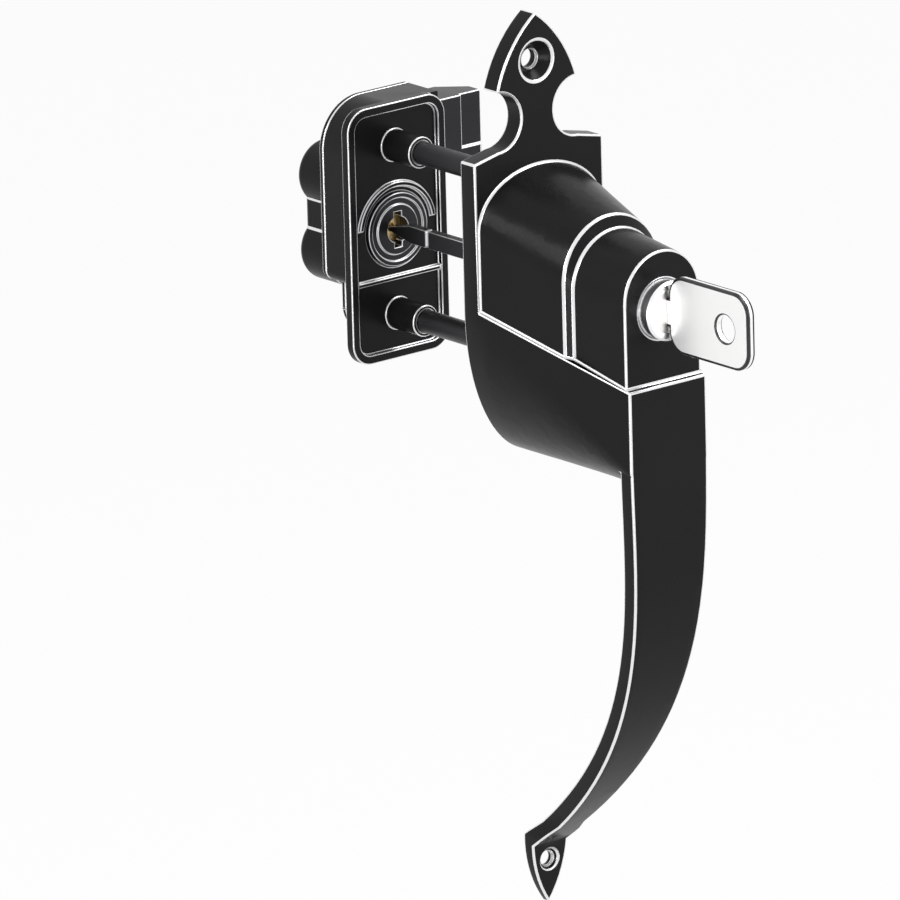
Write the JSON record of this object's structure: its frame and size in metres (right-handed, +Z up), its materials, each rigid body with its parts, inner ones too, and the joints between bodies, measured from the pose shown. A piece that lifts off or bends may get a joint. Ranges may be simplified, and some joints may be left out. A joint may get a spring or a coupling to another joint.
{
  "type": "storm door push button handle",
  "caption": "Storm door pull with a keyed push button, spear-topped plate and curved grip, bolted through the door to an inside latch with a turn knob.",
  "frame": {"origin": "where the spindle's axis crosses the back face of the outside plate, which lies on the door", "axes": "+Z up along the grip, -Y outdoors, +Y into the room, +X towards the latch bolt"},
  "size_m": [0.052, 0.1689, 0.2353],
  "materials": {
    "black_paint": "semi-gloss black enamel on a zinc casting",
    "case_paint": "semi-gloss black enamel on a zinc casting",
    "post_steel": "black oxide on turned steel",
    "bright_chrome": "bright chrome plate",
    "nickel": "nickel-plated brass",
    "brass": "stamped brass",
    "zinc_steel": "black zinc-plated steel",
    "spring_steel": "spring wire",
    "blade_steel": "blackened steel"
  },
  "bodies": {
    "handle": {"handle_casting": "black_paint", "upper_post": "post_steel", "lower_post": "post_steel", "lock_plate": "zinc_steel", "lock_plate_screws": "zinc_steel", "latch_case": "case_paint", "case_cover": "case_paint", "cover_screws": "zinc_steel", "mounting_screws": "zinc_steel"},
    "button": {"push_button": "bright_chrome", "button_spring": "spring_steel", "push_cup": "brass", "push_pin": "blade_steel"},
    "plug": {"lock_plug": "nickel", "tumblers": "brass", "key": "nickel", "spindle": "blade_steel", "spindle_pin": "blade_steel", "plug_clip": "zinc_steel", "locking_lug": "zinc_steel"},
    "bolt": {"latch_bolt": "zinc_steel", "bolt_spring": "spring_steel"},
    "knob": {"hub": "zinc_steel", "hub_arm": "zinc_steel", "arm_pin": "blade_steel", "inside_knob": "case_paint", "knob_set_screw": "zinc_steel"}
  },
  "joints": [
    {"name": "button_push", "type": "slide", "parent": "handle", "child": "button", "axis": [0, 1, 0], "range_m": [0, 0.0045], "stiffness_N_per_m": 600, "springref_m": -0.004, "deforming": ["button_spring"]},
    {"name": "key_turn", "type": "hinge", "parent": "button", "child": "plug", "pos_m": [0, -0.04, 0], "axis": [0, 1, 0], "range_deg": [0, 90]},
    {"name": "bolt_slide", "type": "slide", "parent": "handle", "child": "bolt", "axis": [-1, 0, 0], "range_m": [0, 0.008], "deforming": ["bolt_spring"]},
    {"name": "knob_turn", "type": "hinge", "parent": "handle", "child": "knob", "pos_m": [0, 0.0668, 0], "axis": [0, -1, 0], "range_deg": [0, 33.2]}
  ],
  "couplings": [
    {"joint": "bolt_slide", "follows": "button_push", "ratio": 1.7778},
    {"joint": "knob_turn", "follows": "button_push", "rad_per_m": 128.78}
  ]
}
